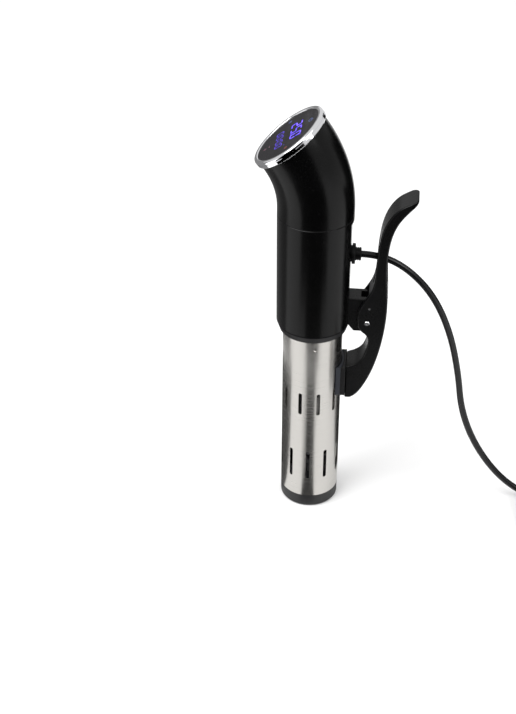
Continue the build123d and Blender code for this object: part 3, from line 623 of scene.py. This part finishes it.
@dataclass
class RoundedSlab:
    """A plate of any outline whose two rims are rounded.

    At each outline point the rim's radius is the largest allowed, or a share of the
    largest circle that touches the outline there and fits inside, whichever is less,
    so the rim thins out where the plate narrows.
    """

    outline: np.ndarray
    low: float
    high: float
    facing: Facing
    rim: float
    count: int = 420
    blur: float = 0.7
    arc: int = 5
    levels: int = 1
    fit: float = 0.7
    spread: int = 4
    relief: Optional[Callable[[np.ndarray], np.ndarray]] = None

    def loop(self) -> tuple[np.ndarray, np.ndarray, np.ndarray]:
        """Return the outline's points, its inward normals and the rim's radius at each."""
        loop = even_loop(self.outline, self.count, self.blur)
        after = np.roll(loop, -1, axis=0)
        if np.sum(loop[:, 0] * after[:, 1] - loop[:, 1] * after[:, 0]) < 0:
            loop = loop[::-1]
        along = np.roll(loop, -1, axis=0) - np.roll(loop, 1, axis=0)
        along /= np.linalg.norm(along, axis=1)[:, None]
        inward = np.stack([-along[:, 1], along[:, 0]], axis=1)
        gap = loop[None, :, :] - loop[:, None, :]
        depth = np.einsum("ijk,ik->ij", gap, inward)
        least, none = 1e-4, 1e3
        fits = np.sum(gap**2, axis=2) / (2 * np.maximum(depth, least))
        reach = np.where(depth > least, fits, none)
        radius = np.minimum(self.rim, self.fit * reach.min(axis=1))
        shifts = range(-self.spread, self.spread + 1)
        near = np.sort([np.roll(radius, shift) for shift in shifts], axis=0)
        return loop, inward, 0.5 * (near[0] + near[2])

    def build(self, name: str) -> bpy.types.Object:
        """Make the slab: a quarter circle at each rim, a straight side, and two flat faces."""
        loop, inward, radius = self.loop()
        turn = np.linspace(0, np.pi / 2, self.arc + 1)
        inset = 1 - np.sin(turn)
        drop = 1 - np.cos(turn)
        rounds = [
            (loop + inward * (radius * share)[:, None], radius * fall)
            for share, fall in zip(inset, drop)
        ]
        side = self.high - self.low - 2 * radius
        middle = np.linspace(1, 0, self.levels + 1)[1:-1]
        rows = [(flat, self.high - fall) for flat, fall in rounds]
        rows += [(loop, self.low + radius + side * part) for part in middle]
        rows += [(flat, self.low + fall) for flat, fall in rounds[::-1]]
        points = np.zeros((len(rows), self.count, 3))
        first, second, third = self.facing.value
        points[:, :, first] = np.stack([flat[:, 0] for flat, _ in rows])
        points[:, :, second] = np.stack([flat[:, 1] for flat, _ in rows])
        points[:, :, third] = np.stack([height for _, height in rows])
        points = points.reshape(-1, 3)
        if self.relief is not None:
            points = self.relief(points)
        return add_mesh(name, points * MM, tube_faces(len(rows), self.count))


def drilled(piece: bpy.types.Object, cutters: Sequence[bpy.types.Object]) -> None:
    """Cut closed cutters out of a piece, apply the cuts and remove the cutters."""
    for cutter in cutters:
        cut = piece.modifiers.new("cut", "BOOLEAN")
        cut.operation = "DIFFERENCE"
        cut.solver = "EXACT"
        cut.object = cutter
    bpy.context.view_layer.update()
    ready = piece.evaluated_get(bpy.context.evaluated_depsgraph_get())
    mesh = bpy.data.meshes.new_from_object(ready)
    piece.modifiers.clear()
    piece.data = mesh
    for cutter in cutters:
        bpy.data.objects.remove(cutter)


def crisp(piece: bpy.types.Object, angle: float = 32.0) -> None:
    """Shade a piece smooth except over edges sharper than angle, with large faces kept flat."""
    mesh = piece.data
    mesh.polygons.foreach_set("use_smooth", np.full(len(mesh.polygons), True))
    mesh.set_sharp_from_angle(angle=radians(angle))
    weighted = piece.modifiers.new("weighted", "WEIGHTED_NORMAL")
    weighted.keep_sharp = True


def dress(piece: bpy.types.Object, finish: Finish, body: str) -> bpy.types.Object:
    """Give a new piece its finish, in one material slot, and the body it rides on."""
    piece.data.materials.clear()
    piece.data.materials.append(finish.material())
    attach(piece, body)
    LOG.info("piece %s on %s with %s", piece.name, body, finish.name)
    return piece


def aimed(name: str, data: bpy.types.ID, place: Colour, aim: Colour) -> bpy.types.Object:
    """Put a camera or a lamp at its place, turned towards a point and upright."""
    holder = add_object(name, data)
    holder.location = place
    holder.rotation_euler = (Vector(aim) - Vector(place)).to_track_quat("-Z", "Y").to_euler()
    return holder


# ---- studio
LIFT = 0.0008
WALL = 1.4
Rail = tuple[Point, ...]
STEEL_RAIL: Rail = ((0.03, LIFT), (0.225, LIFT))

CARDS: tuple[tuple[str, float, float, Rail, float], ...] = (
    # name, first and last angle, rail, brightness
    ("card_middle_near", -26, 22, ((0.245, LIFT), (0.36, LIFT)), 0.12),
    ("card_middle_far", -44, 34, ((0.36, LIFT), (WALL, LIFT), (WALL, 0.9)), 0.0),
    ("card_right", 104, 150, ((0.05, LIFT), (WALL, LIFT), (WALL, 0.5)), 0.01),
    ("card_left", -180, -92, ((0.245, LIFT), (WALL, LIFT), (WALL, 0.45)), 0.25),
    ("card_steel_left", -180, -84, STEEL_RAIL, 0.10),
    ("card_steel_middle", -24, 12, STEEL_RAIL, 0.07),
)

LAMPS: tuple[tuple[str, Colour, float, float], ...] = (
    # name, place, side in metres, power in watts
    ("key", (0.7, -1.1, 2.0), 1.6, 42.0),
    ("fill", (1.2, 1.6, 1.6), 1.4, 22.0),
)


@dataclass
class Studio:
    """Camera, floor and light."""

    eye: Colour = (1.00584, 0.06158, 0.85284)
    aim: Colour = (0.0652, -0.0392, 0.1873)
    lens: float = 73.11
    floor_half: float = 6.0
    floor_drop: float = 0.0002
    camera_turn: float = 6.11
    card_steps: int = 25
    lamp_aim: Colour = (0.0, 0.0, 0.15)
    world_level: float = 0.72

    def camera(self) -> None:
        """Set the camera at its place, aimed and upright."""
        data = bpy.data.cameras.new("view")
        data.sensor_fit = "AUTO"
        data.sensor_width = 36.0
        data.lens = self.lens
        data.clip_start = 0.05
        data.clip_end = 50.0
        bpy.context.scene.camera = aimed("view", data, self.eye, self.aim)

    def floor(self) -> None:
        """Lay the pale floor: a square sheet, flat and just below height zero."""
        half, depth = self.floor_half, -self.floor_drop
        flat = half * np.array([(-1, -1), (1, -1), (1, 1), (-1, 1)])
        corners = np.column_stack([flat, np.full(len(flat), depth)])
        sheet = add_mesh("floor", corners, [(0, 1, 2, 3)], smooth=False)
        sheet.data.materials.append(StudioFloor("studio_floor").material())

    def card(self, name: str, start: float, stop: float, rail: Rail, level: float) -> None:
        """Stand a card that only reflections see: a rail carried round the object.

        A point is at an angle from start to stop about the axis, at the distance and
        height that the rail gives it.

        Args:
            name: its name.
            start: first angle from the camera's side, in degrees, towards +Y.
            stop: last angle.
            rail: distances from the axis and heights, in metres.
            level: how bright it is.
        """
        angle = np.radians(np.linspace(start, stop, self.card_steps) + self.camera_turn)
        reach, height = np.array(rail).T
        points = np.zeros((len(reach), len(angle), 3))
        points[:, :, 0] = reach[:, None] * np.cos(angle)
        points[:, :, 1] = reach[:, None] * np.sin(angle)
        points[:, :, 2] = height[:, None]
        count = len(angle)
        row, column = np.meshgrid(np.arange(len(reach) - 1), np.arange(count - 1), indexing="ij")
        first = (row * count + column).ravel()
        faces = np.stack([first, first + count, first + count + 1, first + 1], axis=1)
        card = add_mesh(name, points.reshape(-1, 3), faces, smooth=False)
        paint = bpy.data.materials.new(name)
        paint.use_nodes = True
        graph = Graph(paint.node_tree)
        inputs = {"Color": (1.0, 1.0, 1.0), "Strength": level}
        graph.show(graph.node("ShaderNodeEmission", None, inputs))
        card.data.materials.append(paint)
        card.visible_camera = False
        card.visible_diffuse = False
        card.visible_shadow = False
        card.visible_transmission = False

    def lamp(self, name: str, place: Colour, size: float, power: float) -> None:
        """Hang a soft square lamp that points at the object."""
        data = bpy.data.lights.new(name, "AREA")
        data.size = size
        data.energy = power
        aimed(name, data, place, self.lamp_aim)

    def build(self) -> None:
        """Set up the whole studio."""
        self.camera()
        self.floor()
        bpy.context.scene.view_settings.view_transform = "Standard"
        world = bpy.data.worlds.new("studio")
        bpy.context.scene.world = world
        world.use_nodes = True
        graph = Graph(world.node_tree)
        level = self.world_level
        inputs = {"Color": (level, level, level), "Strength": 1.0}
        sky = graph.node("ShaderNodeBackground", None, inputs)
        graph.show(sky, "ShaderNodeOutputWorld")
        for lamp in LAMPS:
            self.lamp(*lamp)
        for card in CARDS:
            self.card(*card)
        LOG.info("studio ready")


# ---- mains lead
@dataclass
class MainsLead:
    """The free cord from the gland to the plug, its coil put away behind the object."""

    radius: float = 2.8
    length: float = 1.332
    centre: Point = (33.0, 230.0)
    outer: float = 37.1
    inner: float = 23.2
    floor_height: float = 2.9
    upper_height: float = 8.6
    turns: float = 4.75
    climb: float = 0.12
    per_turn: int = 24
    route: tuple[Colour, ...] = (
        (0, 37.5, 249),
        (0, 53, 249),
        (-0.5, 76, 237),
        (-2, 98, 212),
        (-4, 114, 176),
        (-6, 124, 134),
        (-7, 130, 92),
        (-6, 146, 54),
        (-5, 171, 21),
        (-4.1, 198, 4.1),
        (-4.1, 226, 2.9),
    )
    tail: tuple[Colour, ...] = (
        (25, 192.9, 9.4),
        (15, 192.6, 11.4),
        (4.5, 193.6, 13.4),
        (-4.5, 198.5, 15.2),
        (-10, 207, 16.9),
        (-11.3, 217, 18.6),
        (-8, 227, 20.4),
        (-1.5, 234.5, 22.2),
        (5.5, 237.8, 23.4),
        (12, 238, 23.7),
    )
    boot_length: float = 22.0
    boot_radius: float = 3.3
    boot_growth: float = 2.6
    rib_pitch: float = 3.4
    rib_depth: float = 0.32
    rib_flat: float = 0.6
    plain_start: float = 3.0
    plain_end: float = 3.5

    def coil(self) -> np.ndarray:
        """Return the coil's points, clockwise from its -X side.

        The radius falls evenly to the inner one over the first half of the turns and
        grows evenly back over the second half, and the height steps up to the upper
        layer just before the middle, so that neighbours stay a diameter apart.
        """
        place = np.arange(1, int(self.turns * self.per_turn) + 1) / self.per_turn
        middle = self.turns / 2
        radius = self.inner + (self.outer - self.inner) * np.abs(place / middle - 1)
        step = np.clip((place - middle) / self.climb + 1, 0, 1)
        rise = self.upper_height - self.floor_height
        height = self.floor_height + rise * step * step * (3 - 2 * step)
        angle = np.pi - 2 * np.pi * place
        return np.column_stack([ring(angle, radius[:, None], self.centre), height])

    def cord(self) -> bpy.types.Object:
        """Make the cord: one smooth open spline through the route, the coil and the tail."""
        points = np.vstack([self.route, self.coil(), self.tail]) * MM
        curve = bpy.data.curves.new("mains_lead", "CURVE")
        curve.dimensions = "3D"
        curve.bevel_depth = self.radius * MM
        curve.bevel_resolution = 5
        curve.resolution_u = 6
        curve.use_fill_caps = True
        spline = curve.splines.new("NURBS")
        spline.points.add(len(points) - 1)
        spline.points.foreach_set("co", np.hstack([points, np.ones((len(points), 1))]).ravel())
        spline.order_u = 3
        spline.use_endpoint_u = True
        return add_object("mains_lead", curve)

    def boot(self) -> bpy.types.Object:
        """Make the plug's ribbed boot: a profile turned about the cord's line.

        Its radius grows from the cord's to the plug's and dips between ribs by a
        rounded wave.
        """
        steps, count, fade_length, centre_hole = 105, 40, 2, 0.02
        length = self.boot_length
        along = np.linspace(0, length, steps)
        taper = self.boot_radius + self.boot_growth * (along / length) ** 1.15
        wave = np.sin(along * 2 * np.pi / self.rib_pitch)
        rib = np.clip(wave, -self.rib_flat, self.rib_flat) / self.rib_flat
        fade_in = np.clip((along - self.plain_start) / fade_length, 0, 1)
        fade_out = np.clip((length - self.plain_end - along) / fade_length, 0, 1)
        reach = taper - self.rib_depth * (1 - rib) * fade_in * fade_out
        reach = np.concatenate([[centre_hole], [self.radius + 0.2], reach, [centre_hole]])
        along = np.concatenate([[0], [0], along, [length]])
        angle = round_angles(count)
        x, y, z = self.tail[-1]
        points = np.zeros((len(along), count, 3))
        points[:, :, 0] = x + along[:, None]
        points[:, :, 1] = y + reach[:, None] * np.cos(angle)
        points[:, :, 2] = z + reach[:, None] * np.sin(angle)
        faces = tube_faces(len(along), count)
        piece = add_mesh("plug_boot_ribbed", points.reshape(-1, 3) * MM, faces)
        crisp(piece)
        return piece

    def build(self) -> None:
        cord = dress(self.cord(), SHEATH, "housing")
        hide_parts("power_cord", "cord_coil")
        boot = dress(self.boot(), PLUG, "housing")
        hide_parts("plug_boot")


# ---- display
SEGMENTS = {"0": "abcdef", "2": "abged", "5": "afgcd"}


@dataclass(frozen=True)
class FigureSize:
    """How large a row's figures are, in mm: width, height and stroke."""

    wide: float
    tall: float
    stroke: float


BIG = FigureSize(5.1, 9.8, 1.15)
SMALL = FigureSize(3.8, 6.5, 0.8)


@dataclass
class Panel:
    """The lit digits and icons, thin plates that stand just proud of the glass.

    Places on the glass are in mm from its middle, across and up the slope.
    """

    tilt: float = 38.0
    proud: float = 0.06
    sunk: float = 0.05
    lean: float = 0.08
    upper_row: float = 8.0
    lower_row: float = -8.4
    origin: np.ndarray = field(init=False)

    def __post_init__(self) -> None:
        """Find the middle of the glass's upper face.

        It is the middle of the glass's box, raised along the tilt to the highest point.
        """
        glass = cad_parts["display_glass"].data.vertices
        points = np.zeros(len(glass) * 3)
        glass.foreach_get("co", points)
        low, high = (np.array(corner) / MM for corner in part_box("display_glass"))
        normal = np.array([0, -sin(radians(self.tilt)), cos(radians(self.tilt))])
        middle = (low + high) / 2
        highest = (points.reshape(-1, 3) / MM @ normal).max()
        self.origin = middle + normal * (highest - middle @ normal)

    def plates(self, name: str, shapes: Sequence[np.ndarray]) -> bpy.types.Object:
        """Make thin plates on the glass.

        A plate point (x, y, h) lies at origin + x*side + y*up + h*normal of the face.

        Args:
            name: the piece's name.
            shapes: outlines on the face, counter-clockwise, in mm.

        Returns:
            One object with all of them.
        """
        slope = radians(self.tilt)
        axes = np.array([(1, 0, 0), (0, cos(slope), sin(slope)), (0, -sin(slope), cos(slope))])
        points: list[np.ndarray] = []
        faces: list[Sequence[int]] = []
        start = 0
        for shape in shapes:
            count = len(shape)
            levels = (self.proud, -self.sunk)
            both = np.vstack([np.column_stack([shape, np.full(count, h)]) for h in levels])
            points.append(self.origin + both @ axes)
            faces += prism_faces(count, start)
            start += 2 * count
        return add_mesh(name, np.vstack(points) * MM, faces, smooth=False)

    def bar(self, a: Point, b: Point, width: float) -> np.ndarray:
        """Return a bar from a to b whose ends come to a blunt point."""
        start, stop = np.array(a, float), np.array(b, float)
        along = (stop - start) / np.linalg.norm(stop - start)
        side = np.array([-along[1], along[0]]) * width / 2
        cut = along * width / 2
        first, last = start + cut, stop - cut
        return np.array([start, first - side, last - side, stop, last + side, first + side])

    def digit(self, figure: str, x: float, y: float, size: FigureSize) -> list[np.ndarray]:
        """Return the segments of one figure, centred on x, y and leaning to the right."""
        left, right, top, low = -size.wide / 2, size.wide / 2, size.tall / 2, -size.tall / 2
        gap = 0.12 * size.stroke
        ends = {
            "a": ((left + gap, top), (right - gap, top)),
            "b": ((right, top - gap), (right, gap)),
            "c": ((right, -gap), (right, low + gap)),
            "d": ((left + gap, low), (right - gap, low)),
            "e": ((left, -gap), (left, low + gap)),
            "f": ((left, top - gap), (left, gap)),
            "g": ((left + gap, 0), (right - gap, 0)),
        }
        shapes = [self.bar(*ends[letter], size.stroke) for letter in SEGMENTS[figure]]
        lean = np.array([[1, 0], [self.lean, 1]])
        return [shape @ lean + np.array([x, y]) for shape in shapes]

    def dot(self, x: float, y: float, size: float) -> np.ndarray:
        """Return a round dot."""
        return ring(round_angles(16), size, (x, y))

    def arc(
        self, x: float, y: float, size: float, turn: Point = (0, 358), width: float = 0.5
    ) -> np.ndarray:
        """Return a bent bar of radius size about x, y; turn gives its end angles in degrees."""
        angle = np.radians(np.linspace(*turn, 24))
        outer = ring(angle, size + width / 2, (x, y))
        inner = ring(angle, size - width / 2, (x, y))
        return np.vstack([outer, inner[::-1]])

    def temperature(self) -> list[np.ndarray]:
        """Return the upper row: two figures, a point and a third figure."""
        row = (("2", -8.6), ("5", 0.0), ("0", 8.9))
        shapes = [part for figure, x in row for part in self.digit(figure, x, self.upper_row, BIG)]
        return shapes + [self.dot(4.3, 3.2, 0.7)]

    def timer(self) -> list[np.ndarray]:
        """Return the lower row: two pairs of figures with a colon between them."""
        row = (-10.2, -3.9, 3.9, 10.2)
        shapes = [part for x in row for part in self.digit("0", x, self.lower_row, SMALL)]
        return shapes + [self.dot(0.1, -6.9, 0.55), self.dot(-0.1, -9.9, 0.55)]

    def build(self) -> None:
        """Make and dress the rows and the icons."""
        icons = {
            "digits_temperature": (self.temperature(), DIGITS_BRIGHT),
            "digits_timer": (self.timer(), DIGITS_DIM),
            "icon_power": (
                [self.arc(0, 22, 1.9, (125, 415)), self.bar((0, 21.9), (0, 24.6), 0.5)],
                ICON_BLUE,
            ),
            "icon_heat": (
                [self.arc(21.8, 0, 1.2, width=0.35), self.dot(21.8, 0, 0.45)],
                ICON_RED,
            ),
            "icon_pump": (
                [self.arc(-21.8, 0, 1.4, (30, 330), 0.4), self.dot(-21.8, 0, 0.5)],
                ICON_BLUE,
            ),
            "icon_keys": (
                [self.bar((-1.6, -22.4), (1.6, -22.4), 0.5),
                 self.bar((0, -24), (0, -20.8), 0.5),
                 self.bar((-1.6, -18.2), (1.6, -18.2), 0.5)],
                ICON_PINK,
            ),
            "icon_units": (
                [self.arc(13.4, 12.6, 0.7, width=0.3), self.bar((13.8, -2.4), (15.2, -2.4), 0.35)],
                DIGITS_DIM,
            ),
        }
        for name, (shapes, finish) in icons.items():
            dress(self.plates(name, shapes), finish, "housing")


# ---- pot clip
@dataclass
class ClipLever:
    """The clip's lever: a moulded plate with rounded rims, a pocket, a cord slot and bores.

    Places are in mm in the y-z plane; the plate is half wide to either side of it.
    """

    half: float = 12.5
    rim: float = 1.5
    tip: Point = (81.0, 304.6)
    tip_round: float = 7.0
    pivot: Point = (45.0, 190.0)
    pivot_bore: float = 2.25
    stud: Point = (46.5, 204.5)
    stud_bore: float = 1.0
    pocket_low: Point = (20.0, 178.0)
    pocket_high: Point = (56.2, 216.5)
    pocket_half: float = 9.0
    slot_middle: float = 245.0
    slot_half: float = 15.3
    slot_radius: float = 6.7
    slot_run: Point = (40.0, 75.0)
    front: tuple[Point, ...] = (
        (80.2, 304.9), (66.0, 297.3), (55.6, 281.5), (51.4, 261.0), (50.2, 240.0),
        (47.6, 221.5), (42.0, 210.5), (37.6, 200.5), (37.2, 190.0),
    )
    inner: tuple[Point, ...] = (
        (37.2, 190.0), (39.5, 182.6), (45.2, 177.0), (45.3, 164.0), (40.8, 152.2), (29.0, 145.0),
    )
    back: tuple[Point, ...] = (
        (34.0, 113.8), (43.3, 124.6), (53.0, 149.0), (59.2, 180.0), (60.9, 207.0),
        (59.3, 236.0), (60.1, 262.7), (66.8, 285.0), (81.2, 303.9),
    )

    def outline(self) -> np.ndarray:
        """Return the lever's side outline in the y-z plane."""
        return np.vstack([
            spline_through(self.front, (-0.93, -0.37), (0, -1)),
            spline_through(self.inner, (0, -1), (-1, -0.35)),
            [(29.0, 145.0), (29.0, 113.8)],
            spline_through(self.back, (0.9, 0.45), (0.6, 0.8)),
            [(81.2, 303.9)],
        ])

    def rounded_tip(self, points: np.ndarray) -> np.ndarray:
        """Narrow the thumb end so that its corners are round when seen from above.

        Within tip_round of the end, a point's x shrinks by the share that a quarter
        circle leaves of the half width.
        """
        run = np.array([0.8, 0.6])
        away = np.clip((np.array(self.tip) - points[:, 1:]) @ run, 0.0, self.tip_round)
        left = np.sqrt(np.maximum(self.tip_round**2 - (self.tip_round - away) ** 2, 0.0))
        points[:, 0] *= (self.half - self.tip_round + left) / self.half
        return points

    def cutter(
        self, name: str, corners: np.ndarray, run: Point, across_y: bool = False
    ) -> bpy.types.Object:
        """Make a closed prism to cut with.

        Args:
            name: its name.
            corners: outline, in y-z, or in x-z where across_y is set.
            run: where it begins and ends along x, or along y.
            across_y: whether it runs along y.

        Returns:
            The cutter.
        """
        count = len(corners)
        order = (0, 2, 1) if across_y else (1, 2, 0)
        points = np.zeros((2 * count, 3))
        points[:, order[0]] = np.tile(corners[:, 0], 2)
        points[:, order[1]] = np.tile(corners[:, 1], 2)
        points[:, order[2]] = np.repeat(run[::-1], count)
        faces = prism_faces(count)
        if across_y:
            faces = [face[::-1] for face in faces]
        return add_mesh(name, points * MM, faces, smooth=False)

    def build(self) -> None:
        """Make the lever, cut its pocket, slot and bores, and dress it."""
        slab = RoundedSlab(
            self.outline(), -self.half, self.half, Facing.ACROSS_X, self.rim,
            relief=self.rounded_tip,
        )
        lever = slab.build("lever")
        (y0, z0), (y1, z1) = self.pocket_low, self.pocket_high
        pocket = np.array([(y0, z0), (y1, z0), (y1, z1), (y0, z1)])
        end = ring(np.linspace(0, np.pi, 20), self.slot_radius, (0.0, self.slot_half))
        slot = np.vstack([end, -end]) + (0, self.slot_middle)
        through, turn = (-20.0, 20.0), round_angles(48)
        drilled(lever, [
            self.cutter("cut_pocket", pocket, (-self.pocket_half, self.pocket_half)),
            self.cutter("cut_slot", slot, self.slot_run, across_y=True),
            self.cutter("cut_pivot", ring(turn, self.pivot_bore, self.pivot), through),
            self.cutter("cut_stud", ring(turn, self.stud_bore, self.stud), through),
        ])
        crisp(lever)
        dress(lever, CLIP, "clip")
        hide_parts("clip_lever")


@dataclass
class JawPad:
    """The rubber pad on the lever's foot and the hard strip that carries it."""

    half: float = 14.5
    low: float = 117.0
    high: float = 145.0
    face_radius: float = 25.3
    seam_radius: float = 46.9
    seam_centre: float = -19.6
    back: float = 29.0
    steps: int = 60
    groove_pitch: float = 4.6
    groove_depth: float = 0.9
    groove_reach: float = 11.5
    groove_margin: float = 1.4

    def sagitta(self, x: np.ndarray, radius: float, centre: float) -> np.ndarray:
        """Return y on a circle about the upright axis at y = centre."""
        return centre + np.sqrt(radius**2 - x**2)

    def grooves(self, points: np.ndarray) -> np.ndarray:
        """Press five grip grooves into the pad's face.

        A point whose y is on the face's side moves back by a rounded wave of its height.
        """
        skin, ridge = 0.6, 0.45
        x, y = points[:, 0], points[:, 1]
        height = points[:, 2] - (self.low + self.high) / 2
        y_face = self.sagitta(np.clip(x, -self.half, self.half), self.face_radius, 0.0)
        inside = (np.abs(x) < self.half - self.groove_margin) * (np.abs(height) < self.groove_reach)
        on_face = np.clip(1 - (y - y_face) / skin, 0, 1)
        wave = np.clip(np.cos(height * 2 * np.pi / self.groove_pitch) - ridge, 0, 1)
        points[:, 1] += self.groove_depth * wave * on_face * inside
        return points

    def build(self) -> None:
        """Make and dress the pad and its carrier."""
        x = np.linspace(-self.half, self.half, self.steps)
        face = np.column_stack([x, self.sagitta(x, self.face_radius, 0.0)])
        seam = np.column_stack([x, self.sagitta(x, self.seam_radius, self.seam_centre)])
        back = np.column_stack([x, np.full(self.steps, self.back)])
        pad = RoundedSlab(
            np.vstack([face, seam[::-1]]), self.low, self.high, Facing.UP_Z, rim=1.3,
            count=300, blur=0.5, levels=70, relief=self.grooves,
        ).build("jaw_pad_rubber")
        crisp(pad, 40.0)
        dress(pad, PAD, "clip")
        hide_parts("jaw_pad")
        strip = RoundedSlab(
            np.vstack([seam, back[::-1]]), self.low, self.high, Facing.UP_Z, rim=0.6,
            count=300, blur=0.3,
        ).build("jaw_carrier")
        crisp(strip)
        dress(strip, CARRIER, "clip")
        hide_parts("pad_carrier")


# ---- whole object
def finish_parts() -> None:
    """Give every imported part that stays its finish."""
    for finish, names in CAD_FINISHES.items():
        for name in names:
            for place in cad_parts[name].material_slots:
                place.material = finish.material()
            LOG.info("part %s with %s", name, finish.name)


def main() -> None:
    """Build the studio, then each sub-assembly."""
    logging.basicConfig(level=logging.INFO, format="%(name)s %(message)s")
    Studio().build()
    MainsLead().build()
    finish_parts()
    Panel().build()
    ClipLever().build()
    JawPad().build()
    bpy.context.view_layer.update()


if __name__ == "__main__":
    main()
